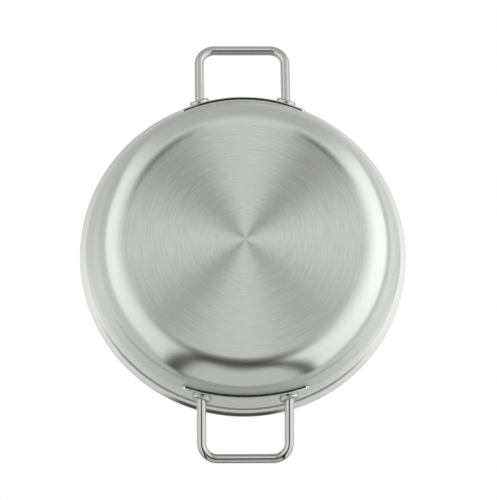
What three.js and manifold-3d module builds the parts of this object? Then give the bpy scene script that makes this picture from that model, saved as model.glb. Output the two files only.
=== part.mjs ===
// A two-handled serving pan in clad stainless steel. Millimetres, +Z up.
// The pan stands on its base at z = 0, its axis is Z and its handles lie along X.

import * as THREE from 'three';
import { mergeVertices, toCreasedNormals } from 'three/addons/utils/BufferGeometryUtils.js';
import Module from 'manifold-3d';

const wasm = await Module();
wasm.setup();

// Pan body: the outer face of its wall, from the base's rounded corner to the pouring lip
const RIM_RADIUS = 140;
const PAN_HEIGHT = 65;
const CORNER_RADIUS = 29;
const WALL_FLARE = THREE.MathUtils.degToRad(13);
const LIP_HEIGHT = 14;
const LIP_OVERHANG = 6;

// Clad sheet, from the outside in: magnetic steel, aluminium, cooking-grade steel
const OUTER_PLY = 0.5;
const CORE_PLY = 1.6;
const INNER_PLY = 0.5;
const BOND_CLEARANCE = 0.05;

// Handle: a round rod bent into a U, rising outwards from its seats on the wall
const ROD_DIAMETER = 8;
const ROD_SPACING = 74;
const ROD_BEND_RADIUS = 13.3;
const HANDLE_REACH = 38.5;
const HANDLE_RISE = THREE.MathUtils.degToRad(13.5);
const SEAT_HEIGHT = 36;

// Mounting plate: a curved strip on the wall with tapered, rounded ends
const PLATE_THICKNESS = 2.2;
const PLATE_HALF_WIDTH = 54;
const PLATE_SHOULDER = 41;
const PLATE_ABOVE_ROD = 8.5;
const PLATE_BELOW_ROD = 11.5;
const PLATE_END_RADIUS = 5.5;

// Collar: an oval pad on the plate around each end of the rod
const COLLAR_LENGTH = 17;
const COLLAR_HEIGHT = 12.5;
const COLLAR_THICKNESS = 3;
const COLLAR_EDGE_RADIUS = 1;

// Air left between welded pieces
const SEAT_CLEARANCE = 0.3;

// Facets
const TURN_SEGMENTS = 60;
const CORNER_STEPS = 7;
const LIP_STEPS = 4;
const ROD_SIDES = 12;
const ROD_STEPS = 48;
const OVAL_SIDES = 24;
const ARC_STEPS = 8;
const EDGE_STEPS = 2;
const CREASE_ANGLE = THREE.MathUtils.degToRad(20);

// Wall profile, worked out from the rim inwards and down
const sheetThickness = OUTER_PLY + CORE_PLY + INNER_PLY + 2 * BOND_CLEARANCE;
const lipLean = Math.atan2(LIP_OVERHANG, LIP_HEIGHT);
const lipEndLean = 2 * lipLean - WALL_FLARE;
const lipRadius = Math.hypot(LIP_OVERHANG, LIP_HEIGHT) / (2 * Math.sin(lipLean - WALL_FLARE));
const lipStartRadius = RIM_RADIUS - LIP_OVERHANG;
const lipStartHeight = PAN_HEIGHT - sheetThickness * Math.sin(lipEndLean) - LIP_HEIGHT;
const lipCentreRadius = lipStartRadius + lipRadius * Math.cos(WALL_FLARE);
const lipCentreHeight = lipStartHeight - lipRadius * Math.sin(WALL_FLARE);
const cornerEndHeight = CORNER_RADIUS * (1 - Math.sin(WALL_FLARE));
const wallRun = (lipStartHeight - cornerEndHeight) * Math.tan(WALL_FLARE);
const baseRadius = lipStartRadius - wallRun - CORNER_RADIUS * Math.cos(WALL_FLARE);

// Seats of the rod on the plate's outer face
const plateFace = SEAT_CLEARANCE + PLATE_THICKNESS;
const collarBack = plateFace + SEAT_CLEARANCE;
const seatRise = lipStartHeight - SEAT_HEIGHT;
const seatRadius = lipStartRadius - seatRise * Math.tan(WALL_FLARE) + plateFace / Math.cos(WALL_FLARE);
const seatAzimuth = Math.asin(ROD_SPACING / 2 / seatRadius);
const seatX = seatRadius * Math.cos(seatAzimuth);

// The wall's profile from the flat base to the lip's edge, moved inwards by a depth;
// a negative depth gives a skin that stands off the wall.
function wallPath(depth) {
  const points = [];
  const cornerReach = CORNER_RADIUS - depth;
  for (let step = 0; step <= CORNER_STEPS; step++) {
    const turn = (Math.PI / 2 - WALL_FLARE) * step / CORNER_STEPS;
    const radius = baseRadius + cornerReach * Math.sin(turn);
    points.push(new THREE.Vector2(radius, CORNER_RADIUS - cornerReach * Math.cos(turn)));
  }
  const lipReach = lipRadius + depth;
  for (let step = 0; step <= LIP_STEPS; step++) {
    const lean = THREE.MathUtils.lerp(WALL_FLARE, lipEndLean, step / LIP_STEPS);
    const radius = lipCentreRadius - lipReach * Math.cos(lean);
    points.push(new THREE.Vector2(radius, lipCentreHeight + lipReach * Math.sin(lean)));
  }
  return points;
}

// A profile turned about Z
function turned(profile) {
  return new THREE.LatheGeometry(profile, TURN_SEGMENTS).rotateX(Math.PI / 2);
}

// The point of the axis level with a point of a profile
function onAxis(point) {
  return new THREE.Vector2(0, point.y);
}

// A closed mesh as a solid that can be joined and cut
function solid(geometry) {
  geometry.deleteAttribute('normal');
  geometry.deleteAttribute('uv');
  const merged = mergeVertices(geometry);
  const corners = merged.index.array;
  const triangles = [];
  for (let i = 0; i < corners.length; i += 3) {
    const triangle = [corners[i], corners[i + 1], corners[i + 2]];
    if (new Set(triangle).size === 3) triangles.push(...triangle);
  }
  return new wasm.Manifold(new wasm.Mesh({
    numProp: 3,
    vertProperties: merged.attributes.position.array,
    triVerts: new Uint32Array(triangles),
  }));
}

// A solid as a named, drawable mesh
function piece(name, body, material) {
  const { numProp, vertProperties, triVerts } = body.getMesh();
  const geometry = new THREE.BufferGeometry();
  geometry.setAttribute('position', new THREE.BufferAttribute(vertProperties, numProp));
  geometry.setIndex(new THREE.BufferAttribute(triVerts, 1));
  const mesh = new THREE.Mesh(toCreasedNormals(geometry, CREASE_ANGLE), material);
  mesh.name = name;
  return mesh;
}

// One sheet of the clad pan, between two depths below the outer face
function ply(outerDepth, innerDepth) {
  const outside = wallPath(outerDepth);
  const inside = wallPath(innerDepth).reverse();
  const profile = [onAxis(outside[0]), ...outside, ...inside, onAxis(inside.at(-1))];
  return solid(turned(profile));
}

// Everything inside a skin that stands off the wall: the cutter for what seats against it
function envelope(standoff) {
  const outside = wallPath(-standoff);
  return solid(turned([onAxis(outside[0]), ...outside, onAxis(outside.at(-1))]));
}

// The plate's outline in the plane across X: a flat upper edge with straight tapers to the
// round ends, and a lower edge that is one long arc tangent to both ends
function plateOutline() {
  const top = SEAT_HEIGHT + PLATE_ABOVE_ROD;
  const bottom = SEAT_HEIGHT - PLATE_BELOW_ROD;
  const endY = PLATE_HALF_WIDTH - PLATE_END_RADIUS;
  const endZ = SEAT_HEIGHT;
  const rise = endZ - bottom;
  const chordTerm = endY ** 2 + rise ** 2 - PLATE_END_RADIUS ** 2;
  const bellyRadius = chordTerm / (2 * (rise - PLATE_END_RADIUS));
  const bellyEnd = Math.atan2(endZ - bottom - bellyRadius, endY);
  const bellyStart = -Math.PI - bellyEnd;

  const toShoulder = Math.atan2(top - endZ, PLATE_SHOULDER - endY);
  const shoulderDistance = Math.hypot(top - endZ, PLATE_SHOULDER - endY);
  const taperStart = toShoulder - Math.acos(PLATE_END_RADIUS / shoulderDistance);

  const outline = new THREE.Shape();
  outline.absarc(0, bottom + bellyRadius, bellyRadius, bellyStart, bellyEnd, false);
  outline.absarc(endY, endZ, PLATE_END_RADIUS, bellyEnd, taperStart, false);
  outline.lineTo(PLATE_SHOULDER, top);
  outline.lineTo(-PLATE_SHOULDER, top);
  outline.absarc(-endY, endZ, PLATE_END_RADIUS, Math.PI - taperStart, Math.PI - bellyEnd, false);
  return outline;
}

// The mounting plate of the +X handle: a skin of the wall inside the outline
function mountPlate() {
  const inside = wallPath(-SEAT_CLEARANCE).reverse();
  const outside = wallPath(-plateFace);
  const skin = solid(turned([...outside, ...inside, outside[0]]));
  const options = { depth: RIM_RADIUS, bevelEnabled: false, curveSegments: ARC_STEPS };
  const prism = new THREE.ExtrudeGeometry(plateOutline(), options);
  const across = new THREE.Matrix4().makeBasis(
    new THREE.Vector3(0, 1, 0),
    new THREE.Vector3(0, 0, 1),
    new THREE.Vector3(1, 0, 0),
  );
  return skin.intersect(solid(prism.applyMatrix4(across)));
}

// A quarter bend in the XY plane about a centre, from one heading to another
class Bend extends THREE.Curve {
  constructor(centre, startAngle, endAngle) {
    super();
    this.centre = centre;
    this.startAngle = startAngle;
    this.endAngle = endAngle;
  }

  getPoint(t, target = new THREE.Vector3()) {
    const angle = THREE.MathUtils.lerp(this.startAngle, this.endAngle, t);
    target.set(Math.cos(angle), Math.sin(angle), 0).multiplyScalar(ROD_BEND_RADIUS);
    return target.add(this.centre);
  }
}

// Puts what was made along X, with the seats' midpoint at the origin, at the handle's rise
function raise(geometry) {
  return geometry.rotateY(-HANDLE_RISE).translate(seatX, 0, SEAT_HEIGHT);
}

// The +X handle's rod: a U that starts inside the wall and is cut back to the plate's face
function handleRod() {
  const legY = ROD_SPACING / 2;
  const barX = (RIM_RADIUS + HANDLE_REACH - seatX) / Math.cos(HANDLE_RISE);
  const bendX = barX - ROD_BEND_RADIUS;
  const bendY = legY - ROD_BEND_RADIUS;
  const tail = -ROD_SPACING / 2;
  const path = new THREE.CurvePath();
  const line = (fromX, fromY, toX, toY) => path.add(new THREE.LineCurve3(
    new THREE.Vector3(fromX, fromY, 0),
    new THREE.Vector3(toX, toY, 0),
  ));
  line(tail, -legY, bendX, -legY);
  path.add(new Bend(new THREE.Vector3(bendX, -bendY, 0), -Math.PI / 2, 0));
  line(barX, -bendY, barX, bendY);
  path.add(new Bend(new THREE.Vector3(bendX, bendY, 0), 0, Math.PI / 2));
  line(bendX, legY, tail, legY);

  const section = new THREE.Shape();
  section.absarc(0, 0, ROD_DIAMETER / 2, 0, 2 * Math.PI);
  const options = { steps: ROD_STEPS, extrudePath: path, curveSegments: ROD_SIDES / 2 };
  const rod = raise(new THREE.ExtrudeGeometry(section, options));
  return solid(rod).subtract(envelope(collarBack));
}

// A collar of the +X handle, on the leg at +Y or -Y: an oval pad square to the wall,
// with its back cut to the plate's curve and a bore for the rod
function collar(end) {
  const oval = new THREE.Shape();
  const halfLength = COLLAR_LENGTH / 2;
  oval.absellipse(0, 0, halfLength, COLLAR_HEIGHT / 2, 0, 2 * Math.PI);
  const root = halfLength;
  const pad = new THREE.ExtrudeGeometry(oval, {
    depth: root + COLLAR_THICKNESS - COLLAR_EDGE_RADIUS,
    curveSegments: OVAL_SIDES / 2,
    bevelThickness: COLLAR_EDGE_RADIUS,
    bevelSize: COLLAR_EDGE_RADIUS,
    bevelOffset: -COLLAR_EDGE_RADIUS,
    bevelSegments: EDGE_STEPS,
  }).translate(0, 0, -root);

  const azimuth = end * seatAzimuth;
  const outward = new THREE.Vector3(Math.cos(azimuth), Math.sin(azimuth), 0);
  const upward = new THREE.Vector3(0, 0, 1);
  const normal = outward.clone().multiplyScalar(Math.cos(WALL_FLARE))
    .addScaledVector(upward, -Math.sin(WALL_FLARE));
  const slope = outward.clone().multiplyScalar(Math.sin(WALL_FLARE))
    .addScaledVector(upward, Math.cos(WALL_FLARE));
  const tangent = new THREE.Vector3().crossVectors(slope, normal);
  const frame = new THREE.Matrix4().makeBasis(tangent, slope, normal);
  frame.setPosition(seatX, end * ROD_SPACING / 2, SEAT_HEIGHT);

  const boreRadius = ROD_DIAMETER / 2 + SEAT_CLEARANCE;
  const bore = new THREE.CylinderGeometry(boreRadius, boreRadius, 4 * root, ROD_SIDES)
    .rotateZ(-Math.PI / 2)
    .translate(0, end * ROD_SPACING / 2, 0);
  return solid(pad.applyMatrix4(frame)).subtract(envelope(collarBack)).subtract(solid(raise(bore)));
}

const satinSteel = new THREE.MeshStandardMaterial({ color: 0xb9bbb8, roughness: 0.38, metalness: 1 });
const brushedSteel = new THREE.MeshStandardMaterial({ color: 0xbfc1be, roughness: 0.34, metalness: 1 });
const polishedSteel = new THREE.MeshStandardMaterial({ color: 0xd2d3d1, roughness: 0.1, metalness: 1 });
const bareAluminium = new THREE.MeshStandardMaterial({ color: 0xc8cacb, roughness: 0.5, metalness: 1 });

const coreStart = OUTER_PLY + BOND_CLEARANCE;
const innerStart = coreStart + CORE_PLY + BOND_CLEARANCE;

const pan = new THREE.Group();
pan.add(piece('outer_ply', ply(0, OUTER_PLY), brushedSteel));
pan.add(piece('core_ply', ply(coreStart, coreStart + CORE_PLY), bareAluminium));
pan.add(piece('inner_ply', ply(innerStart, sheetThickness), satinSteel));

// Both handles are the same four pieces; the left one is turned half round the pan's axis
for (const [side, turn] of [['right', 0], ['left', Math.PI]]) {
  const handle = new THREE.Group();
  handle.rotation.z = turn;
  handle.add(piece(`${side}_mount_plate`, mountPlate(), polishedSteel));
  handle.add(piece(`${side}_handle_rod`, handleRod(), polishedSteel));
  for (const end of [-1, 1]) {
    const place = end * Math.cos(turn) < 0 ? 'front' : 'rear';
    handle.add(piece(`${side}_${place}_collar`, collar(end), polishedSteel));
  }
  pan.add(handle);
}

export default pan;
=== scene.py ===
# %% [markdown]
# # A two-handled serving pan in clad stainless steel
#
# The packed model gives every piece's place and size. Its surfaces are flat facets, so each piece
# is made again here with a fine, smooth surface of the same size, which stands for its node.
# Metal has little colour of its own: it shows what is around it. So most of the likeness comes
# from three things: smooth normals, the direction of the brushing, and a studio with a few
# well-placed bright panels and dark seams.

# %% Load the frame
import math

import bmesh
import bpy
from mathutils import Matrix, Vector


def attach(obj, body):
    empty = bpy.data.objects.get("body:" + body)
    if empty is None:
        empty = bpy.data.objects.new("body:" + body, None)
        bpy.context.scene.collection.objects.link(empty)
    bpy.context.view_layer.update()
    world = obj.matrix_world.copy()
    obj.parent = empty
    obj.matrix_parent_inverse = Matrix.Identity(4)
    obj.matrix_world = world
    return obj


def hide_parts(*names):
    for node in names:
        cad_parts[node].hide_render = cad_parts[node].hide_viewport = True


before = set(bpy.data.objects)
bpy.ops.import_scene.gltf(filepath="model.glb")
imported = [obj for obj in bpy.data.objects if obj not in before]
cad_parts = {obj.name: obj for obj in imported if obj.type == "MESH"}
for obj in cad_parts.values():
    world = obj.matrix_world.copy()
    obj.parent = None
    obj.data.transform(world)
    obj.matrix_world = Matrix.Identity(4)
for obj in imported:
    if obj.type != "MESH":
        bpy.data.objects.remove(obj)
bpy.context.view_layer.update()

# %% [markdown]
# ## Sizes
#
# These are the pan's own measures, the same as in its construction. A press tool for such a pan
# is drawn from few numbers too: a rim, a height, a corner radius and two leans. The sheet itself
# is a sandwich of steel, aluminium and steel.

# %% Driving sizes
MM = 0.001
RIM_RADIUS = 140 * MM
PAN_HEIGHT = 65 * MM
CORNER_RADIUS = 29 * MM
WALL_FLARE = math.radians(13)
LIP_HEIGHT = 14 * MM
LIP_OVERHANG = 6 * MM
OUTER_PLY = 0.5 * MM
CORE_PLY = 1.6 * MM
INNER_PLY = 0.5 * MM
BOND = 0.05 * MM
sheet = OUTER_PLY + CORE_PLY + INNER_PLY + 2 * BOND
print("sheet: %.2f mm thick" % (sheet / MM))

# %% [markdown]
# ## The profile's turning points
#
# The outside of the pan is a flat base, a corner arc, a straight flared wall and a lip arc that
# opens further. Each stroke starts where the last one ends and in the same direction, so the
# centres of both arcs follow from the driving sizes. Typing them in would also work, but then a
# changed size would leave a kink, and polished metal shows every kink.

# %% Work out the profile
lip_lean = math.atan2(LIP_OVERHANG, LIP_HEIGHT)
lip_end_lean = 2 * lip_lean - WALL_FLARE
lip_radius = math.hypot(LIP_OVERHANG, LIP_HEIGHT) / (2 * math.sin(lip_lean - WALL_FLARE))
lip_start_radius = RIM_RADIUS - LIP_OVERHANG
lip_start_height = PAN_HEIGHT - sheet * math.sin(lip_end_lean) - LIP_HEIGHT
lip_centre = Vector((
    lip_start_radius + lip_radius * math.cos(WALL_FLARE),
    0,
    lip_start_height - lip_radius * math.sin(WALL_FLARE),
))
corner_end_height = CORNER_RADIUS * (1 - math.sin(WALL_FLARE))
wall_run = (lip_start_height - corner_end_height) * math.tan(WALL_FLARE)
base_radius = lip_start_radius - wall_run - CORNER_RADIUS * math.cos(WALL_FLARE)
corner_centre = Vector((base_radius, 0, CORNER_RADIUS))
print("flat base: %.1f mm across" % (2 * base_radius / MM))

# %% [markdown]
# ## Turning a mesh into a finished piece
#
# Every piece ends the same way: stray doubles are merged, the faces are turned outwards, curved
# faces are shaded smooth and true corners stay sharp. Then the packed part that the piece stands
# for is hidden, and the piece is hung under the root. This could be repeated for each piece; one
# helper keeps the modelling cells short and treats all pieces alike.

# %% Finish a piece
CREASE = math.radians(32)
DOUBLES = 0.001 * MM


def finish_piece(name, bm, node, slot, *materials):
    bmesh.ops.remove_doubles(bm, verts=bm.verts, dist=DOUBLES)
    bmesh.ops.recalc_face_normals(bm, faces=bm.faces)
    for face in bm.faces:
        face.smooth = True
    for edge in bm.edges:
        edge.smooth = edge.calc_face_angle(0.0) < CREASE
    mesh = bpy.data.meshes.new(name)
    bm.to_mesh(mesh)
    bm.free()
    piece = bpy.data.objects.new(name, mesh)
    bpy.context.scene.collection.objects.link(piece)
    for material in materials:
        mesh.materials.append(material)
    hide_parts(node)
    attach(piece, "root")
    print(name, "faces:", len(mesh.polygons))
    return piece


print("edges that turn more than %.0f degrees stay sharp" % math.degrees(CREASE))

# %% [markdown]
# ## Shader arithmetic
#
# A finish is a formula on the surface: how far a point lies from the axis, how high it is, a bit
# of noise. Wiring such a formula node by node is long to read, so one small class wraps a socket
# and lets Python's own operators add the Math nodes. Two shapes come back again and again: a
# smooth rise from one level to another, and a hump that rises and falls.

# %% A socket that understands arithmetic
class Wire:
    """One output socket of a node tree, usable in expressions."""

    def __init__(self, tree, socket=None):
        self.tree = tree
        self.socket = socket

    def add(self, kind, settings=None, inputs=None, out=0):
        node = self.tree.nodes.new(kind)
        for name, value in (settings or {}).items():
            setattr(node, name, value)
        for name, value in (inputs or {}).items():
            if isinstance(value, Wire):
                value.feed(node, name)
            else:
                node.inputs[name].default_value = value
        return Wire(self.tree, node.outputs[out] if len(node.outputs) else None)

    def feed(self, node, name):
        self.tree.links.new(self.socket, node.inputs[name])

    def port(self, name):
        return Wire(self.tree, self.socket.node.outputs[name])

    def math(self, operation, *values):
        return self.add("ShaderNodeMath", {"operation": operation}, dict(enumerate(values)))

    def of(self, operation, *others):
        return self.math(operation, self, *others)

    def rise(self, start, end, low=0.0, high=1.0):
        settings = {"interpolation_type": "SMOOTHSTEP"}
        span = {"Value": self, "From Min": start, "From Max": end, "To Min": low, "To Max": high}
        return self.add("ShaderNodeMapRange", settings, span)

    def hump(self, start, full, ebb, end):
        return self.rise(start, full) * self.rise(end, ebb)

    def choose(self, at_zero, at_one):
        return self.rise(0, 1, at_zero, at_one)

    def mix(self, other, factor):
        return self + (other - self) * factor

    def __add__(self, other):
        return self.math("ADD", self, other)

    def __radd__(self, other):
        return self.math("ADD", other, self)

    def __sub__(self, other):
        return self.math("SUBTRACT", self, other)

    def __rsub__(self, other):
        return self.math("SUBTRACT", other, self)

    def __mul__(self, other):
        return self.math("MULTIPLY", self, other)

    def __rmul__(self, other):
        return self.math("MULTIPLY", other, self)

    def __truediv__(self, other):
        return self.math("DIVIDE", self, other)

    def __pow__(self, other):
        return self.math("POWER", self, other)

    def __neg__(self):
        return self.math("MULTIPLY", self, -1.0)


print("a wire can:", [name for name in vars(Wire) if not name.startswith("_")])

# %% [markdown]
# ## The steels
#
# All the steel of the pan has the same faint green cast, and each finish sends back a different
# share of the light: fine brushing swallows a little in its grooves, a polished lip hardly any,
# and the rods are of a darker steel. The colours could be one, with the difference left to
# roughness, but roughness only spreads light and doesn't swallow it. Blender spreads an
# anisotropic highlight round the axis, and a quarter turn sends it across the rings of the
# brushing instead.

# %% Steel colours and a plain metal
STEEL = (0.589, 0.603, 0.583)
BASE_STEEL = (0.532, 0.545, 0.526)
LIP_STEEL = (0.744, 0.759, 0.736)
POLISHED_STEEL = (0.465, 0.477, 0.460)
QUARTER_TURN = 0.25


def new_finish(name, colour, roughness, anisotropy=0.0):
    material = bpy.data.materials.new(name)
    material.use_nodes = True
    shader = material.node_tree.nodes["Principled BSDF"]
    shader.inputs["Base Color"].default_value = (*colour, 1.0)
    shader.inputs["Metallic"].default_value = 1.0
    shader.inputs["Roughness"].default_value = roughness
    shader.inputs["Anisotropic"].default_value = anisotropy
    shader.inputs["Anisotropic Rotation"].default_value = QUARTER_TURN
    return material, shader, Wire(material.node_tree)


print("green over red in the steel: %.3f" % (STEEL[1] / STEEL[0]))

# %% [markdown]
# ## Brushing
#
# Brushing is thousands of fine scratches that all run the same way, so light spreads across them
# and hardly along them. The shader's anisotropy does that for the whole surface. A noise that is
# squeezed across the scratches and stretched along them adds the few that the eye can see. The
# pan was brushed while it turned, in rings, so the noise takes the way along the profile as its
# fine direction and the turn about the axis as its long one. Real scratches as geometry would
# need millions of faces and would still flicker.

# %% Grain in rings
SCRATCHES_PER_METRE = 2600.0
SCRATCH_DETAIL = 3.0
AXIS_GUARD = 0.01 * MM


def from_axis(wire):
    """Distance from the pan's axis, the direction from it, and the height."""
    place = wire.add("ShaderNodeTexCoord", out="Object")
    split = wire.add("ShaderNodeSeparateXYZ", inputs={"Vector": place})
    x, y, height = split.port("X"), split.port("Y"), split.port("Z")
    radius = (x * x + y * y) ** 0.5 + AXIS_GUARD
    return radius, x / radius, y / radius, height


def ring_grain(wire, arcs):
    """Noise in arcs about the axis, fine along the profile."""
    radius, turn_x, turn_y, height = from_axis(wire)
    along_profile = (radius + height) * SCRATCHES_PER_METRE
    spot = wire.add("ShaderNodeCombineXYZ", inputs={
        "X": along_profile, "Y": turn_x * arcs, "Z": turn_y * arcs,
    })
    noise = {"Vector": spot, "Scale": 1.0, "Detail": SCRATCH_DETAIL}
    return wire.add("ShaderNodeTexNoise", inputs=noise)


print("a scratch is about %.2f mm wide" % (1 / SCRATCHES_PER_METRE / MM))

# %% [markdown]
# ## Letting the grain show
#
# A scratch that catches the light is lighter and a little rougher than its neighbour. So the same
# grain moves both the colour and the roughness about their middle values. Bump would also draw
# scratches, but at this size it only adds noise to the reflections. The Mix node keeps sockets
# for numbers, vectors and colours side by side, so the colour ones are picked by their number.

# %% Tint and wear
GRAIN_MIDDLE = 0.5
GRAIN_RANGE = (0.3, 0.7)
MIX_RESULT = 2
MIX_FIRST = 6
MIX_SECOND = 7


def blend(wire, first, second, factor):
    """A colour between two, either of which may be a wire."""
    made = wire.add("ShaderNodeMix", {"data_type": "RGBA"}, {"Factor": factor}, out=MIX_RESULT)
    node = made.socket.node
    for place, colour in ((MIX_FIRST, first), (MIX_SECOND, second)):
        if isinstance(colour, Wire):
            colour.feed(node, place)
        else:
            node.inputs[place].default_value = (*colour, 1.0)
    return made


def tint(wire, colour, grain, contrast):
    """The colour made lighter and darker by the grain."""
    dark = tuple(channel * (1 - contrast) for channel in colour)
    light = tuple(channel * (1 + contrast) for channel in colour)
    return blend(wire, dark, light, grain.rise(*GRAIN_RANGE))


def wear(wire, shader, colour, roughness, grain, contrast, spread):
    """Let the grain vary a shader's colour and roughness."""
    tint(wire, colour, grain, contrast).feed(shader, "Base Color")
    ((grain - GRAIN_MIDDLE) * spread + roughness).feed(shader, "Roughness")


print("grain counts from %.1f to %.1f" % GRAIN_RANGE)

# %% [markdown]
# ## The outer skin
#
# The base is brushed in rings. Round the corner the brushing gives way to a satin that turns
# coarser up the wall, coarsest round the plates, where the welds were cleaned by hand, and the
# lip is polished smooth. One material with three shaders, blended by radius and height, follows
# this without a seam. Three materials on three bands of faces would leave a hard line between.

# %% Roughness of the wall
SATIN_ROUGHNESS = 0.17
WALL_ROUGHNESS = 0.30
LIP_ROUGHNESS = 0.11
WELD_ROUGHNESS = 0.65
SATIN_COARSENS = (13 * MM, 18 * MM)
POLISH_BEGINS = (36 * MM, 44 * MM)
WELD_FOOT = (10 * MM, 18 * MM)
WELD_TOP = (46 * MM, 42 * MM)
WELD_SIDES = (56 * MM, 44 * MM)


def wall_roughness(radius, turn_y, height):
    satin = height.rise(*SATIN_COARSENS, SATIN_ROUGHNESS, WALL_ROUGHNESS)
    plain = satin - height.rise(*POLISH_BEGINS) * (WALL_ROUGHNESS - LIP_ROUGHNESS)
    beside = (radius * turn_y).of("ABSOLUTE")
    welded = beside.rise(*WELD_SIDES) * height.rise(*WELD_FOOT) * height.rise(*WELD_TOP)
    return plain.mix(WELD_ROUGHNESS, welded)


print("roughness from %.2f at the lip to %.2f at the welds" % (LIP_ROUGHNESS, WELD_ROUGHNESS))

# %% Outer skin
BRUSHED_ROUGHNESS = 0.165
BRUSHED_ANISOTROPY = 0.957
BASE_ARCS = 4.0
WALL_ARCS = 6.0
BRUSHING_FADES = (base_radius, base_radius + 13 * MM)
POLISH_TAKES_OVER = (lip_start_height - 2 * MM, lip_start_height + 5 * MM)


def brushed_skin():
    material, brushed, wire = new_finish(
        "brushed_skin", BASE_STEEL, BRUSHED_ROUGHNESS, BRUSHED_ANISOTROPY
    )
    radius, _, turn_y, height = from_axis(wire)
    satin = wire.add("ShaderNodeBsdfPrincipled", inputs={"Metallic": 1.0})
    lip = wire.add("ShaderNodeBsdfPrincipled", inputs={"Metallic": 1.0})
    base_grain = ring_grain(wire, BASE_ARCS)
    wall_grain = ring_grain(wire, WALL_ARCS)
    rough = wall_roughness(radius, turn_y, height)
    wear(wire, brushed, BASE_STEEL, BRUSHED_ROUGHNESS, base_grain, contrast=0.075, spread=0.03)
    wear(wire, satin.socket.node, STEEL, rough, wall_grain, contrast=0.03, spread=0.04)
    wear(wire, lip.socket.node, LIP_STEEL, LIP_ROUGHNESS, wall_grain, contrast=0.02, spread=0.03)
    on_wall = radius.rise(*BRUSHING_FADES)
    on_lip = height.rise(*POLISH_TAKES_OVER)
    base = Wire(wire.tree, brushed.outputs[0])
    skin = wire.add("ShaderNodeMixShader", inputs={0: on_wall, 1: base, 2: satin})
    skin = wire.add("ShaderNodeMixShader", inputs={0: on_lip, 1: skin, 2: lip})
    skin.feed(wire.tree.nodes["Material Output"], "Surface")
    return material


skin_finish = brushed_skin()
print(skin_finish.name, "nodes:", len(skin_finish.node_tree.nodes))

# %% [markdown]
# ## The lining
#
# The inside is the cooking surface: a softer satin, also turned in rings, that shows the floor of
# the pan as a calm disc. It has the same finish from the middle to the rim, so it needs no blend:
# one plain metal with moderate anisotropy is enough.

# %% Lining
LINING_ROUGHNESS = 0.28
LINING_ANISOTROPY = 0.6
LINING_ARCS = 3.0


def satin_lining():
    material, shader, wire = new_finish("satin_lining", STEEL, LINING_ROUGHNESS, LINING_ANISOTROPY)
    grain = ring_grain(wire, LINING_ARCS)
    wear(wire, shader, STEEL, LINING_ROUGHNESS, grain, contrast=0.05, spread=0.06)
    return material


lining_finish = satin_lining()
print(lining_finish.name, "nodes:", len(lining_finish.node_tree.nodes))

# %% [markdown]
# ## Polished rods and plates
#
# The handles are tumbled and polished until no direction is left in the finish. A speckle too
# faint to see as a pattern keeps the long reflections from looking drawn with a ruler.

# %% Polished steel
POLISHED_ROUGHNESS = 0.04
PLATE_ROUGHNESS = 0.12
POLISH_SPECKLES = 300.0
POLISH_DETAIL = 2.0


def speckle(wire, scale, detail):
    place = wire.add("ShaderNodeTexCoord", out="Object")
    noise = {"Vector": place, "Scale": scale, "Detail": detail}
    return wire.add("ShaderNodeTexNoise", inputs=noise)


def polished_steel(name, colour, roughness):
    material, shader, wire = new_finish(name, colour, roughness)
    grain = speckle(wire, POLISH_SPECKLES, POLISH_DETAIL)
    wear(wire, shader, colour, roughness, grain, contrast=0.02, spread=0.02)
    return material


rod_finish = polished_steel("polished_rod", POLISHED_STEEL, POLISHED_ROUGHNESS)
plate_finish = polished_steel("plate_steel", STEEL, PLATE_ROUGHNESS)
print("polished:", rod_finish.name, plate_finish.name)

# %% [markdown]
# ## The plate's edge: painted shade
#
# The plates are sheared from sheet. The edge under each one, in the gap against the wall, is
# coloured near black: painted shade for that gap. Towards the plate's ends, only the half of the
# edge next to the wall keeps the painted shade, and the outer half gets a lighter grey steel.
# The finish finds that half by how far a point stands off the wall.

# %% Plate edge with painted shade
# The first colour is near black, painted shade for the gap between plate and wall; the second is
# the lighter grey of the edge's outer half towards the plate's ends.
PAINTED_GAP_SHADE = (0.035, 0.035, 0.034)
END_STEEL = (0.300, 0.307, 0.296)
SHADED_EDGE_ROUGHNESS = 0.5
GAP_SHADE_CONTRAST = 0.5
END_CONTRAST = 0.2
SHEAR_MARKS = 2500.0
SHEAR_DETAIL = 2.0
LIGHTER_EDGE_SIDEWAYS = (36 * MM, 43 * MM)
LIGHTER_EDGE_STANDOFF = (1.0 * MM, 1.5 * MM)


def shaded_plate_edge():
    material, shader, wire = new_finish("shaded_plate_edge", PAINTED_GAP_SHADE, SHADED_EDGE_ROUGHNESS)
    radius, _, turn_y, height = from_axis(wire)
    wall = lip_start_radius - (lip_start_height - height) * math.tan(WALL_FLARE)
    standoff = (radius - wall) * math.cos(WALL_FLARE)
    sideways = (radius * turn_y).of("ABSOLUTE")
    grain = speckle(wire, SHEAR_MARKS, SHEAR_DETAIL)
    # Near-black painted shade, blended to a lighter grey where the edge stands off the wall towards
    # the ends.
    gap_shade = tint(wire, PAINTED_GAP_SHADE, grain, GAP_SHADE_CONTRAST)
    ground = tint(wire, END_STEEL, grain, END_CONTRAST)
    share = sideways.rise(*LIGHTER_EDGE_SIDEWAYS) * standoff.rise(*LIGHTER_EDGE_STANDOFF)
    blend(wire, gap_shade, ground, share).feed(shader, "Base Color")
    return material


shaded_edge_finish = shaded_plate_edge()
print(shaded_edge_finish.name, "nodes:", len(shaded_edge_finish.node_tree.nodes))

# %% [markdown]
# ## The core's cut edge
#
# Aluminium shows only as a thin grey line between the two steels, where the rim was trimmed. A
# cutter leaves it dull and uneven, so it gets a coarse speckle in colour and roughness.

# %% Cut aluminium
ALUMINIUM = (0.55, 0.56, 0.57)
CUT_ROUGHNESS = 0.45
CUT_MARKS = 3000.0
CUT_DETAIL = 3.0


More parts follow.
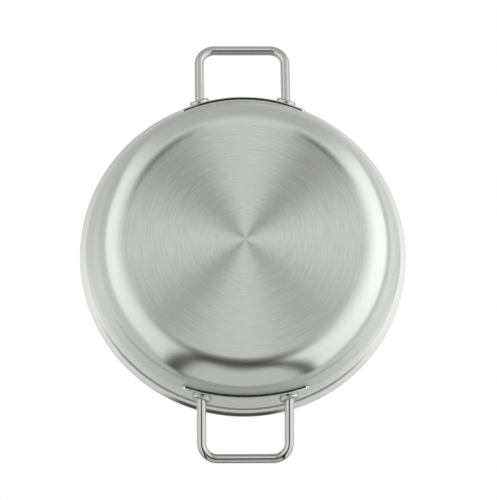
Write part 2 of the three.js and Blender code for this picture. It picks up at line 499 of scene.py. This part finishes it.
def cut_aluminium():
    material, shader, wire = new_finish("cut_aluminium", ALUMINIUM, CUT_ROUGHNESS)
    grain = speckle(wire, CUT_MARKS, CUT_DETAIL)
    wear(wire, shader, ALUMINIUM, CUT_ROUGHNESS, grain, contrast=0.15, spread=0.2)
    return material


core_finish = cut_aluminium()
print("finishes:", len(bpy.data.materials))

# %% [markdown]
# ## A pen for cross sections
#
# A clad pan is pressed from one sandwich of sheets, so its wall is one profile drawn three times
# at different depths. A pen that only knows straight strokes and arcs draws each cross section.
# Each stroke is one mesh operator: a straight one extrudes the last point, an arc spins it about
# a centre. The points could be listed by hand, but then the arcs would have to be worked out.

# %% Pen
COUNTERCLOCKWISE = (0, -1, 0)


def verts_of(geom):
    return [item for item in geom if isinstance(item, bmesh.types.BMVert)]


def edges_of(geom):
    return [item for item in geom if isinstance(item, bmesh.types.BMEdge)]


class Pen:
    """Draws an outline in the XZ plane with one operator for each stroke."""

    def __init__(self, bm, x, z):
        self.bm = bm
        self.tip = bm.verts.new((x, 0, z))

    def line(self, x, z):
        made = bmesh.ops.extrude_vert_indiv(self.bm, verts=[self.tip])
        self.tip = made["verts"][0]
        self.tip.co = (x, 0, z)

    def arc(self, centre, angle, steps):
        made = bmesh.ops.spin(
            self.bm, geom=[self.tip], cent=centre, axis=COUNTERCLOCKWISE, angle=angle, steps=steps
        )
        self.tip = verts_of(made["geom_last"])[0]


def lip_point(depth, lean):
    reach = lip_radius + depth
    return lip_centre.x - reach * math.cos(lean), lip_centre.z + reach * math.sin(lean)


def corner_point(depth, turn):
    reach = CORNER_RADIUS - depth
    return corner_centre.x + reach * math.sin(turn), corner_centre.z - reach * math.cos(turn)


print("rim at %.1f, %.1f mm" % tuple(place / MM for place in lip_point(0, lip_end_lean)))

# %% [markdown]
# ## The pan: three sheets turned about one axis
#
# One full spin of a cross section makes a sheet. A screw modifier would give the same surface,
# but the operator leaves a plain mesh whose rim can be bevelled. A few extra rings lie on the
# flat base, the last one close to the corner, so that the smooth shading stays flat up to it.

# %% Spin a sheet
TURN_STEPS = 320
CORNER_STEPS = 36
LIP_STEPS = 12
BASE_RINGS = (0.25, 0.5, 0.75, 0.97)


def sheet_of_metal(outer_depth, inner_depth):
    bm = bmesh.new()
    corner_turn = math.pi / 2 - WALL_FLARE
    lip_turn = lip_end_lean - WALL_FLARE
    pen = Pen(bm, 0, outer_depth)
    for share in (*BASE_RINGS, 1.0):
        pen.line(base_radius * share, outer_depth)
    pen.arc(corner_centre, corner_turn, CORNER_STEPS)
    pen.line(*lip_point(outer_depth, WALL_FLARE))
    pen.arc(lip_centre, -lip_turn, LIP_STEPS)
    pen.line(*lip_point(inner_depth, lip_end_lean))
    pen.arc(lip_centre, lip_turn, LIP_STEPS)
    pen.line(*corner_point(inner_depth, corner_turn))
    pen.arc(corner_centre, -corner_turn, CORNER_STEPS)
    for share in (*reversed(BASE_RINGS), 0.0):
        pen.line(base_radius * share, inner_depth)
    bmesh.ops.spin(
        bm, geom=bm.verts[:] + bm.edges[:], cent=(0, 0, 0), axis=(0, 0, 1),
        angle=2 * math.pi, steps=TURN_STEPS, use_merge=True,
    )
    bmesh.ops.remove_doubles(bm, verts=bm.verts, dist=DOUBLES)
    return bm


print("one step of the turn is %.1f mm at the rim" % (2 * math.pi * RIM_RADIUS / TURN_STEPS / MM))

# %% Round a sheet's rim
RIM_ROUND = 0.35 * MM
RIM_SEGMENTS = 3
TOUCH = 0.01 * MM


def round_rim(bm, depth):
    radius, height = lip_point(depth, lip_end_lean)

    def on_rim(vert):
        return abs(vert.co.z - height) < TOUCH and abs(vert.co.xy.length - radius) < TOUCH

    rim = [edge for edge in bm.edges if all(on_rim(vert) for vert in edge.verts)]
    bmesh.ops.bevel(
        bm, geom=rim, offset=RIM_ROUND, segments=RIM_SEGMENTS, profile=0.5,
        affect="EDGES", material=-1,
    )
    print("rim edges rounded:", len(rim))


# %% The three sheets
outer = sheet_of_metal(0, OUTER_PLY)
round_rim(outer, 0)
finish_piece("outer_skin", outer, "outer_ply", "brushed_steel", skin_finish)

core_start = OUTER_PLY + BOND
core = sheet_of_metal(core_start, core_start + CORE_PLY)
finish_piece("core_sheet", core, "core_ply", "core_aluminium", core_finish)

inner = sheet_of_metal(core_start + CORE_PLY + BOND, sheet)
round_rim(inner, sheet)
finish_piece("pan_lining", inner, "inner_ply", "lining_steel", lining_finish)

# %% [markdown]
# ## Where the handles sit
#
# Each handle is a round rod bent into a U, welded through two oval collars onto a curved plate.
# Everything is placed from the wall: the plate stands a weld's gap off it, and the rods end on
# the plate's face. Because the wall is a cone, a seat's place follows from its height alone.

# %% Handle seats
ROD_SPACING = 74 * MM
SEAT_HEIGHT = 36 * MM
SEAT_CLEARANCE = 0.3 * MM
PLATE_THICKNESS = 2.2 * MM
SIDES = {"right": 0.0, "left": math.pi}


def wall_radius(height, standoff):
    drop = (lip_start_height - height) * math.tan(WALL_FLARE)
    return lip_start_radius - drop + standoff / math.cos(WALL_FLARE)


def turn_to_side(bm, side):
    half_turn = Matrix.Rotation(SIDES[side], 3, "Z")
    bmesh.ops.rotate(bm, verts=bm.verts, cent=(0, 0, 0), matrix=half_turn)


plate_face = SEAT_CLEARANCE + PLATE_THICKNESS
seat_radius = wall_radius(SEAT_HEIGHT, plate_face)
seat_azimuth = math.asin(ROD_SPACING / 2 / seat_radius)
seat_x = seat_radius * math.cos(seat_azimuth)
print("rod seats at x = %.1f mm" % (seat_x / MM))

# %% [markdown]
# ## The rods
#
# On the bench a straight rod is bent twice over a former. Here one ring of edges is pulled
# straight, spun round the bend and pulled straight again: half of the rod is made and the rest
# is mirrored, so both legs are exactly alike. A curve with a round bevel would be quicker, but
# its cross section twists at the bends. The packed rod has flat sides and so ends a hair sooner
# than a true round, and this one is set in by that much.

# %% Rods
ROD_RADIUS = 4 * MM
ROD_BEND_RADIUS = 13.3 * MM
HANDLE_REACH = 38.5 * MM
HANDLE_RISE = math.radians(13.5)
FLAT_SIDED = 0.11 * MM
ROD_SIDES = 40
BEND_STEPS = 20
ROD_ROOT = 0.5 * MM
raise_handle = Matrix.Translation((seat_x, 0, SEAT_HEIGHT)) @ Matrix.Rotation(-HANDLE_RISE, 4, "Y")


def pull(bm, ring, move):
    made = bmesh.ops.extrude_edge_only(bm, edges=ring)["geom"]
    moved = verts_of(made)
    bmesh.ops.translate(bm, verts=moved, vec=move)
    return [edge for edge in edges_of(made) if all(vert in moved for vert in edge.verts)]


def bent_rod(side):
    bar_x = (RIM_RADIUS + HANDLE_REACH - FLAT_SIDED - seat_x) / math.cos(HANDLE_RISE)
    bend_x = bar_x - ROD_BEND_RADIUS
    bend_y = ROD_SPACING / 2 - ROD_BEND_RADIUS
    stand_up = Matrix.Rotation(math.pi / 2, 3, "X")
    bm = bmesh.new()
    bmesh.ops.create_circle(bm, segments=ROD_SIDES, radius=ROD_RADIUS)
    bmesh.ops.rotate(bm, verts=bm.verts, cent=(0, 0, 0), matrix=stand_up)
    bmesh.ops.translate(bm, verts=bm.verts, vec=(bar_x, 0, 0))
    ring = pull(bm, bm.edges[:], (0, bend_y, 0))
    around = {vert for edge in ring for vert in edge.verts}
    made = bmesh.ops.spin(
        bm, geom=list(around) + ring, cent=(bend_x, bend_y, 0), axis=(0, 0, 1),
        angle=math.pi / 2, steps=BEND_STEPS,
    )
    ring = pull(bm, edges_of(made["geom_last"]), (ROD_ROOT - bend_x, 0, 0))
    bmesh.ops.edgeloop_fill(bm, edges=ring)
    half = bm.verts[:] + bm.edges[:] + bm.faces[:]
    bmesh.ops.mirror(bm, geom=half, axis="Y", merge_dist=TOUCH)
    bmesh.ops.transform(bm, matrix=raise_handle, verts=bm.verts)
    turn_to_side(bm, side)
    return bm


for side in SIDES:
    finish_piece(f"{side}_rod", bent_rod(side), f"{side}_handle_rod", "polished_steel", rod_finish)

# %% [markdown]
# ## The mounting plates
#
# A plate is a strip cut to an outline, with a straight top, tapered shoulders, round ends and a
# belly, and rolled to the wall's curve. The outline is drawn flat with the same pen. The belly's
# arc and the shoulders' lines touch the end circles without a corner, so their radius and angle
# are worked out.

# %% Plate outline
PLATE_HALF_WIDTH = 54 * MM
PLATE_SHOULDER = 41 * MM
PLATE_ABOVE_ROD = 8.5 * MM
PLATE_BELOW_ROD = 11.5 * MM
PLATE_END_RADIUS = 5.5 * MM
END_STEPS = 12
BELLY_STEPS = 40


def plate_outline(bm):
    top = SEAT_HEIGHT + PLATE_ABOVE_ROD
    bottom = SEAT_HEIGHT - PLATE_BELOW_ROD
    end = PLATE_HALF_WIDTH - PLATE_END_RADIUS
    rise = SEAT_HEIGHT - bottom
    belly = (end ** 2 + rise ** 2 - PLATE_END_RADIUS ** 2) / (2 * (rise - PLATE_END_RADIUS))
    belly_end = math.atan2(rise - belly, end)
    shoulder = Vector((PLATE_SHOULDER - end, top - SEAT_HEIGHT))
    taper = math.atan2(shoulder.y, shoulder.x) - math.acos(PLATE_END_RADIUS / shoulder.length)
    taper_x = end + PLATE_END_RADIUS * math.cos(taper)
    taper_z = SEAT_HEIGHT + PLATE_END_RADIUS * math.sin(taper)
    pen = Pen(bm, -PLATE_SHOULDER, top)
    pen.line(PLATE_SHOULDER, top)
    pen.line(taper_x, taper_z)
    pen.arc((end, 0, SEAT_HEIGHT), belly_end - taper, END_STEPS)
    pen.arc((0, 0, bottom + belly), -math.pi - 2 * belly_end, BELLY_STEPS)
    pen.arc((-end, 0, SEAT_HEIGHT), belly_end - taper, END_STEPS)
    pen.line(-PLATE_SHOULDER, top)
    bmesh.ops.remove_doubles(bm, verts=bm.verts, dist=TOUCH)
    face_outwards = Matrix.Rotation(math.pi / 2, 3, "Z")
    bmesh.ops.rotate(bm, verts=bm.verts, cent=(0, 0, 0), matrix=face_outwards)


print("plate: %.0f mm wide" % (2 * PLATE_HALF_WIDTH / MM))

# %% [markdown]
# ## Rolling a plate
#
# The flat outline is filled and sliced into narrow strips so that it can bend, then laid onto the
# wall's cone and given its thickness. Its front edge is rounded last. A bend modifier would roll
# it too, but round a cylinder, and this wall is a cone. The faces that look sideways are the
# plate's edge and get the finish with painted shade.

# %% Plates
SLICE = 2 * MM
PLATE_ROUND = 0.6 * MM
PLATE_SEGMENTS = 3
EDGE_TURN = math.radians(70)
PLATE_STEEL_PLACE = 0
SHADED_EDGE_PLACE = 1


def lay_on_wall(verts, standoff):
    for vert in verts:
        vert.co.x = math.sqrt(wall_radius(vert.co.z, standoff) ** 2 - vert.co.y ** 2)


def slice_up(bm):
    slices = int(PLATE_HALF_WIDTH / SLICE)
    for number in range(-slices, slices + 1):
        everything = bm.verts[:] + bm.edges[:] + bm.faces[:]
        cut = (0, number * SLICE, 0)
        bmesh.ops.bisect_plane(bm, geom=everything, plane_co=cut, plane_no=(0, 1, 0))


# Faces that look sideways get the edge finish with painted shade.
def mark_edges(bm):
    for face in bm.faces:
        face.normal_update()
        outwards = face.calc_center_median().to_2d().normalized() * math.cos(WALL_FLARE)
        facing = face.normal.dot(Vector((*outwards, -math.sin(WALL_FLARE))))
        on_edge = abs(facing) < math.cos(EDGE_TURN)
        face.material_index = SHADED_EDGE_PLACE if on_edge else PLATE_STEEL_PLACE


def mounting_plate(side):
    bm = bmesh.new()
    plate_outline(bm)
    bmesh.ops.edgeloop_fill(bm, edges=bm.edges)
    slice_up(bm)
    front = verts_of(bmesh.ops.extrude_face_region(bm, geom=bm.faces[:])["geom"])
    lay_on_wall([vert for vert in bm.verts if vert not in front], SEAT_CLEARANCE)
    lay_on_wall(front, plate_face)
    bmesh.ops.recalc_face_normals(bm, faces=bm.faces)
    rim = [
        edge for edge in bm.edges
        if all(vert in front for vert in edge.verts) and edge.calc_face_angle(0.0) > CREASE
    ]
    bmesh.ops.bevel(
        bm, geom=rim, offset=PLATE_ROUND, segments=PLATE_SEGMENTS, profile=0.5,
        affect="EDGES", material=-1,
    )
    mark_edges(bm)
    turn_to_side(bm, side)
    return bm


for side in SIDES:
    plate = finish_piece(
        f"{side}_plate", mounting_plate(side), f"{side}_mount_plate",
        "polished_steel", plate_finish, shaded_edge_finish,
    )
    plate.modifiers.new("even_normals", "WEIGHTED_NORMAL").keep_sharp = True

# %% [markdown]
# ## The collars
#
# An oval pad closes the end of each leg against the plate, and the weld runs round it. It stands
# square to the wall while the rod leaves it at a slant. The pad is a circle made oval, pulled up
# to its thickness, and rounded over at the top. Its foot sinks into the plate by a millimetre,
# because the plate curves away under it. Weighted normals keep its flat top flat in reflections.

# %% Collars
COLLAR_LENGTH = 17 * MM
COLLAR_HEIGHT = 12.5 * MM
COLLAR_THICKNESS = 3 * MM
COLLAR_ROUND = 1.8 * MM
COLLAR_ROOT = 1.0 * MM
COLLAR_SEGMENTS = 4
OVAL_SIDES = 56


def seat_frame(end):
    azimuth = end * seat_azimuth
    outwards = Vector((math.cos(azimuth), math.sin(azimuth), 0))
    upwards = Vector((0, 0, 1))
    normal = outwards * math.cos(WALL_FLARE) - upwards * math.sin(WALL_FLARE)
    slope = outwards * math.sin(WALL_FLARE) + upwards * math.cos(WALL_FLARE)
    tangent = slope.cross(normal)
    turned = Matrix((tangent, slope, normal)).transposed().to_4x4()
    return Matrix.Translation((seat_x, end * ROD_SPACING / 2, SEAT_HEIGHT)) @ turned


def oval_collar(side, end):
    bm = bmesh.new()
    bmesh.ops.create_circle(bm, cap_ends=True, segments=OVAL_SIDES, radius=1.0)
    bmesh.ops.scale(bm, verts=bm.verts, vec=(COLLAR_LENGTH / 2, COLLAR_HEIGHT / 2, 1.0))
    bmesh.ops.translate(bm, verts=bm.verts, vec=(0, 0, -COLLAR_ROOT))
    top = verts_of(bmesh.ops.extrude_face_region(bm, geom=bm.faces[:])["geom"])
    bmesh.ops.translate(bm, verts=top, vec=(0, 0, COLLAR_ROOT + COLLAR_THICKNESS))
    rim = [edge for edge in bm.edges if all(vert in top for vert in edge.verts)]
    bmesh.ops.bevel(
        bm, geom=rim, offset=COLLAR_ROUND, segments=COLLAR_SEGMENTS, profile=0.5,
        affect="EDGES", material=-1,
    )
    bmesh.ops.transform(bm, matrix=seat_frame(end), verts=bm.verts)
    turn_to_side(bm, side)
    return bm


for side in SIDES:
    for end in (-1, 1):
        place = "front" if end * math.cos(SIDES[side]) < 0 else "rear"
        collar = finish_piece(
            f"{side}_{place}_pad", oval_collar(side, end), f"{side}_{place}_collar",
            "polished_steel", rod_finish,
        )
        collar.modifiers.new("even_normals", "WEIGHTED_NORMAL").keep_sharp = True

# %% [markdown]
# ## Camera
#
# The pan is seen from underneath, almost along its axis, leaning a little towards the right-hand
# handle. A long lens from three metres keeps the base and the rim nearly the same scale, as in a
# catalogue picture. The picture is 497 by 500 pixels, so the lens follows from how many of them
# a metre takes up, and a small shift puts the pan's middle on its pixel. Aiming the camera to one
# side would do that as well, but would also turn the view.

# %% Camera direction
TILT = math.radians(13.0)
SWING = math.radians(7.7)
ROLL = math.radians(-0.13)
CAMERA_DISTANCE = 3.0
TARGET = Vector((0, 0, 0.032))

sideways_tilt = math.sin(TILT)
outward = Vector((
    sideways_tilt * math.cos(SWING),
    sideways_tilt * math.sin(SWING),
    -math.cos(TILT),
))
picture_up = outward.cross(Vector((0, -1, 0))).normalized()
picture_right = picture_up.cross(outward)
aim = Matrix((picture_right, picture_up, outward)).transposed().to_4x4()
aim = aim @ Matrix.Rotation(ROLL, 4, "Z")
print("camera stands towards", ["%.3f" % part for part in outward])

# %% Camera
FRAME_LONG_SIDE = 500
FRAME_WIDTH = 497
SENSOR = 36
PIXELS_PER_METRE = 1178
TARGET_PIXEL = Vector((244.2, 247.9))
FAR_LIMIT = 100

camera_data = bpy.data.cameras.new("camera")
camera_data.sensor_width = SENSOR
camera_data.lens = SENSOR * PIXELS_PER_METRE * CAMERA_DISTANCE / FRAME_LONG_SIDE
camera_data.shift_x = (FRAME_WIDTH / 2 - TARGET_PIXEL.x) / FRAME_LONG_SIDE
camera_data.shift_y = (TARGET_PIXEL.y - FRAME_LONG_SIDE / 2) / FRAME_LONG_SIDE
camera_data.clip_end = FAR_LIMIT
camera = bpy.data.objects.new("camera", camera_data)
camera.matrix_world = Matrix.Translation(TARGET + outward * CAMERA_DISTANCE) @ aim
bpy.context.scene.collection.objects.link(camera)
bpy.context.scene.camera = camera
print("lens: %.0f mm" % camera_data.lens)

# %% [markdown]
# ## Floor
#
# From above, the pan stands on a pale floor that keeps its shadow and fades into the white
# background. The photograph's camera looks up through that floor, so its underside is clear: the
# material asks whether a face is seen from behind. The floor also stays out of reflections, so
# that the steel sees the same studio whether or not the floor is in the way. Hiding the floor in
# some views would need a handler, and this needs none. It lies a hair below the base, because two
# faces in one plane would flicker.

# %% Floor finish
FLOOR_COLOUR = (0.92, 0.92, 0.92, 1.0)
WHITE = (1.0, 1.0, 1.0, 1.0)
FLOOR_FADES = (0.3, 0.9)


def pale_floor():
    material = bpy.data.materials.new("pale_floor")
    material.use_nodes = True
    material.node_tree.nodes.clear()
    wire = Wire(material.node_tree)
    radius, *_ = from_axis(wire)
    lit = wire.add("ShaderNodeBsdfDiffuse", inputs={"Color": FLOOR_COLOUR})
    white = wire.add("ShaderNodeEmission", inputs={"Color": WHITE, "Strength": 1.0})
    clear = wire.add("ShaderNodeBsdfTransparent")
    behind = wire.add("ShaderNodeNewGeometry", out="Backfacing")
    far = radius.rise(*FLOOR_FADES)
    ground = wire.add("ShaderNodeMixShader", inputs={0: far, 1: lit, 2: white})
    seen = wire.add("ShaderNodeMixShader", inputs={0: behind, 1: ground, 2: clear})
    wire.add("ShaderNodeOutputMaterial", inputs={"Surface": seen})
    return material


floor_finish = pale_floor()
print(floor_finish.name, "nodes:", len(floor_finish.node_tree.nodes))

# %% Floor
FLOOR_RADIUS = 2.0
FLOOR_SIDES = 64
FLOOR_GAP = 0.3 * MM

floor_mesh = bmesh.new()
bmesh.ops.create_circle(floor_mesh, cap_ends=True, segments=FLOOR_SIDES, radius=FLOOR_RADIUS)
bmesh.ops.translate(floor_mesh, verts=floor_mesh.verts, vec=(0, 0, -FLOOR_GAP))
floor_data = bpy.data.meshes.new("floor")
floor_mesh.to_mesh(floor_data)
floor_mesh.free()
floor_data.materials.append(floor_finish)
floor = bpy.data.objects.new("floor", floor_data)
bpy.context.scene.collection.objects.link(floor)
floor.visible_glossy = False
floor.visible_diffuse = False
floor.visible_transmission = False
floor.visible_shadow = False
print("floor: %.0f m across" % (2 * FLOOR_RADIUS))

# %% [markdown]
# ## Studio: a map of directions
#
# The light comes from the world alone: a studio painted on the sky in every direction. To the
# camera the sky is plain white. To metal it is bright panels round the camera with dark seams
# between them, and a pale backdrop behind the pan. Area lamps would need many pieces to draw the
# same seams. A direction is named by degrees from straight down, as on a map of the pole: along
# points to the right-hand handle, across to the left of the picture. Because the camera leans,
# the flat base mirrors one spot of this map, and rings about that spot show up as rings about the
# base's centre. So most of the studio is drawn by spread, the distance from it, and by angle.
# A pair that is handed to rise says where a change starts and where it ends. A pair that is
# handed to choose holds the values for the picture's right and left side.

# %% Directions
DEGREE = math.pi / 180
BASE_MIRRORS = (-13, -1.7)
POLE_GUARD = 0.00001
SPREAD_GUARD = 0.01
MIDDLE = (-3, 3)


def polar_map(wire):
    """Degrees from straight down, and the flat direction from there."""
    towards = wire.add("ShaderNodeTexCoord", out="Generated")
    split = wire.add("ShaderNodeSeparateXYZ", inputs={"Vector": towards})
    x, y, z = split.port("X"), split.port("Y"), split.port("Z")
    polar = (-z).of("ARCCOSINE") / DEGREE
    flat = (x * x + y * y) ** 0.5 + POLE_GUARD
    return polar, x / flat, y / flat


def base_map(along, across):
    """Distance and angle from the spot that the base mirrors, and how far sideways it lies."""
    ahead = along - BASE_MIRRORS[0]
    aside = across - BASE_MIRRORS[1]
    spread = (ahead * ahead + aside * aside) ** 0.5
    angle = aside.of("ABSOLUTE").of("ARCTAN2", ahead) / DEGREE
    return spread, angle, aside / (spread + SPREAD_GUARD)


print("the base mirrors the spot at", BASE_MIRRORS)

# %% [markdown]
# ## Studio: dark fans
#
# A ring-brushed disc smears every reflection along the radius, so a dark gap between two panels
# shows as a wedge from the centre to the edge. The base has four such wedges, two strong ones
# away from the camera and two weak ones near it. Painting wedges onto the steel would be easier
# and wrong: they have to turn with the light, not with the pan.

# %% Dark fans
FAR_FAN_RIGHT = (104, 142, 149, 158)
FAR_FAN_LEFT = (98, 136, 144, 168)
FAR_FAN_LEFT_DEPTH = 0.98
NEAR_FAN_RIGHT = (4, 20, 32, 52)
NEAR_FAN_RIGHT_DEPTH = 0.42
NEAR_FAN_LEFT = (27, 37, 43, 60)
NEAR_FAN_LEFT_DEPTH = 0.31
FAR_FAN_FADES = (32, 12)
NEAR_FAN_FADES = (34, 14)


def dark_fans(spread, angle, on_left):
    far_left = angle.hump(*FAR_FAN_LEFT) * FAR_FAN_LEFT_DEPTH
    far = angle.hump(*FAR_FAN_RIGHT).mix(far_left, on_left)
    near_left = angle.hump(*NEAR_FAN_LEFT) * NEAR_FAN_LEFT_DEPTH
    near_right = angle.hump(*NEAR_FAN_RIGHT) * NEAR_FAN_RIGHT_DEPTH
    near = near_right.mix(near_left, on_left)
    return far * spread.rise(*FAR_FAN_FADES) + near * spread.rise(*NEAR_FAN_FADES)


print("fans fade out %d degrees from the mirrored spot" % FAR_FAN_FADES[0])

# %% [markdown]
# ## Studio: dark arms
#
# Two seams run from beneath the camera past the near panel, like a V. In the rounded corner they
# bend into the dark horseshoe above the near handle. Each arm is a soft line: past tells how far
# a direction lies beside it, and run how far along it.

# %% Dark arms
ARM_START = 8
ARM_SHIFT = 2
ARM_ANGLE = 36.5 * DEGREE
ARM_HALF_WIDTH = 2.6
ARM_WIDENS = (0.035, 0.06)
ARM_BEGINS = (0, 8)
ARM_ENDS = (112, 98)
LINE_EDGE = (1.6, 0.5)


def arm_places(along, across):
    beside = (across - ARM_SHIFT).of("ABSOLUTE")
    forward = along - ARM_START
    past = beside * math.cos(ARM_ANGLE) - forward * math.sin(ARM_ANGLE)
    run = beside * math.sin(ARM_ANGLE) + forward * math.cos(ARM_ANGLE)
    return past, run


def dark_arms(past, run, polar, on_left):
    half_width = run * on_left.choose(*ARM_WIDENS) + ARM_HALF_WIDTH
    line = (past.of("ABSOLUTE") / half_width).rise(*LINE_EDGE)
    return line * run.rise(*ARM_BEGINS) * polar.rise(*ARM_ENDS)


print("the arms open by %.0f degrees" % (2 * ARM_ANGLE / DEGREE))

# %% [markdown]
# ## Studio: bright panels
#
# A broad panel on each side gives the white bands in the corner, and is strongest straight to
# the side. A near panel hangs between the arms and a far one opposite, and a small strong lamp, the
# kicker, lights the sector of the base towards the near handle. The camera hides part of them
# all: its dark hole shows as the black line along the polished rods.

# %% Bright panels
SIDE_START = (0.99, 0.80)
SIDE_PEAK = (1.14, 1.0)
SIDE_BROADSIDE = (0.44, 0.34)
SIDE_GROWS = (-4, 52)
KICKER = 1.6
KICKER_ANGLES = (44, 34)
KICKER_FADES = (22, 14)
NEAR_PANEL = (7, 25, 1.40, 0.72)
NEAR_PANEL_EDGE = (4, -4)
NEAR_PANEL_BEGINS = (-3, 3)
FAR_PANEL = (10, 50, 1.07, 0.62)
FAR_PANEL_ANGLES = (122, 150)


def bright_panels(spread, angle, turn, past, run, on_left):
    broadside = turn * turn * turn * turn
    peak = on_left.choose(*SIDE_PEAK) + broadside * on_left.choose(*SIDE_BROADSIDE)
    panels = on_left.choose(*SIDE_START).mix(peak, spread.rise(*SIDE_GROWS))
    panels = panels.mix(KICKER, angle.rise(*KICKER_ANGLES) * spread.rise(*KICKER_FADES))
    between_arms = past.rise(*NEAR_PANEL_EDGE) * run.rise(*NEAR_PANEL_BEGINS)
    panels = panels.mix(spread.rise(*NEAR_PANEL), between_arms)
    return panels.mix(spread.rise(*FAR_PANEL), angle.rise(*FAR_PANEL_ANGLES))


print("side panels at %.2f and %.2f" % SIDE_PEAK)

# %% Camera's dark hole
HOLE_PLACE = 12
HOLE_HALF_WIDTH = 12
HOLE_LENGTHS = (16.5, 25)
HOLE_TURNS = (-0.5, 0.5)
HOLE_EDGE = (1.6, 0.35)


def lens_hole(along, across):
    off = along - HOLE_PLACE
    length = off.rise(*HOLE_TURNS, *HOLE_LENGTHS)
    around = ((off / length) ** 2 + (across / HOLE_HALF_WIDTH) ** 2) ** 0.5
    return around.rise(*HOLE_EDGE)


print("camera's hole: %d degrees wide" % (2 * HOLE_HALF_WIDTH))

# %% [markdown]
# ## Studio: the backdrop
#
# Everything behind the pan is a pale backdrop, which the wall and the lip mirror. It is a little
# uneven, as paper under a few lamps is: brighter straight to the sides, where the lip shines, and
# with two dark strips towards the near handle, which draw the crease under the lip and the dark
# line along its edge.

# %% Backdrop
BACKDROP = 0.70
BACKDROP_SIDE = (0.16, 0.07)
BACKDROP_SIDE_DIP = (0.17, 0.0)
BACKDROP_FAR_DIP = (-0.06, 0.10)
LIP_SHINE = (0.60, 0.30)
LIP_SHINE_GROWS = (108, 116, 0.45, 1.0)
LIP_SHINE_ENDS = (153, 148)


def backdrop(polar, right, rear, to_left):
    sideways = rear * rear
    far = (-right).of("MAXIMUM", 0.0)
    pale = BACKDROP + sideways * to_left.choose(*BACKDROP_SIDE)
    pale = pale - sideways * sideways * to_left.choose(*BACKDROP_SIDE_DIP)
    pale = pale - to_left.choose(*BACKDROP_FAR_DIP) * far
    shine = polar.rise(*LIP_SHINE_GROWS) * polar.rise(*LIP_SHINE_ENDS) * sideways * sideways
    return pale * (1 + shine * to_left.choose(*LIP_SHINE))


print("backdrop at %.2f" % BACKDROP)

# %% Strips towards the near handle
NEAR_SWING = 6 * DEGREE
LIP_STRIP = (102, 105, 114, 120)
LIP_STRIP_REACH = (0.86, 0.95)
LIP_STRIP_DEPTH = 0.92
CREASE_STRIP = (126, 129, 136, 139)
CREASE_STRIP_REACH = (0.2, 0.65)
CREASE_STRIP_DEPTH = 0.65
OVERHEAD = (146, 152)
OVERHEAD_REACH = (0.3, 0.8)
OVERHEAD_GAIN = 0.4


def near_strips(polar, right, rear):
    nearby = right * math.cos(NEAR_SWING) + rear * math.sin(NEAR_SWING)
    lip_strip = polar.hump(*LIP_STRIP) * nearby.rise(*LIP_STRIP_REACH)
    crease_strip = polar.hump(*CREASE_STRIP) * nearby.rise(*CREASE_STRIP_REACH)
    overhead = polar.rise(*OVERHEAD) * nearby.rise(*OVERHEAD_REACH)
    dimmed = (1 - LIP_STRIP_DEPTH * lip_strip) * (1 - CREASE_STRIP_DEPTH * crease_strip)
    return dimmed * (1 + OVERHEAD_GAIN * overhead)


print("strips at %d and %d degrees" % (LIP_STRIP[1], CREASE_STRIP[1]))

# %% [markdown]
# ## Studio: put together
#
# The panels, less the fans and the camera's hole, fill the sky below the level of the rim, and
# the backdrop the sky above it. The border lies lower at the sides, where the backdrop curves
# round. The dark arms cross both. A ray from the camera, or one that came through glass, sees
# plain white instead.

# %% Studio
DARK_ROOM = 0.06
HOLE_DEPTH = 0.94
ARM_DEPTH = 0.94
LEFT_STARTS = (-0.2, 0.2)
BORDER = 101
BORDER_BENDS = (0.55, 0.85)
BORDER_DROPS = (10, 24)
BORDER_SOFT = (-9, 9)


def studio_light(wire):
    polar, right, rear = polar_map(wire)
    along = polar * right
    across = polar * rear
    spread, angle, turn = base_map(along, across)
    past, run = arm_places(along, across)
    on_left = across.rise(*MIDDLE)
    to_left = rear.rise(*LEFT_STARTS)
    panels = bright_panels(spread, angle, turn, past, run, on_left)
    panels = panels * (1 - HOLE_DEPTH * lens_hole(along, across))
    front = panels * (1 - dark_fans(spread, angle, on_left)) + DARK_ROOM
    beyond = backdrop(polar, right, rear, to_left) * near_strips(polar, right, rear)
    bend = rear.of("ABSOLUTE").rise(*BORDER_BENDS) * to_left.choose(*BORDER_DROPS)
    light = front.mix(beyond, (polar - BORDER + bend).rise(*BORDER_SOFT))
    return light * (1 - ARM_DEPTH * dark_arms(past, run, polar, on_left))


world = bpy.data.worlds.new("studio")
bpy.context.scene.world = world
world.use_nodes = True
world.node_tree.nodes.clear()
sky_wire = Wire(world.node_tree)
light = studio_light(sky_wire)
camera_ray = sky_wire.add("ShaderNodeLightPath", out="Is Camera Ray")
plain = camera_ray.of("MAXIMUM", camera_ray.port("Is Transmission Ray"))
sky = sky_wire.add("ShaderNodeBackground", inputs={
    "Color": WHITE, "Strength": light + (1 - light) * plain,
})
sky_wire.add("ShaderNodeOutputWorld", inputs={"Surface": sky})
print("studio nodes:", len(world.node_tree.nodes))

# %% [markdown]
# ## Colours as written
#
# The Standard view shows a colour as it is written, where Blender's default would mute the whites
# of a catalogue picture.

# %% Colour management
bpy.context.scene.view_settings.view_transform = "Standard"
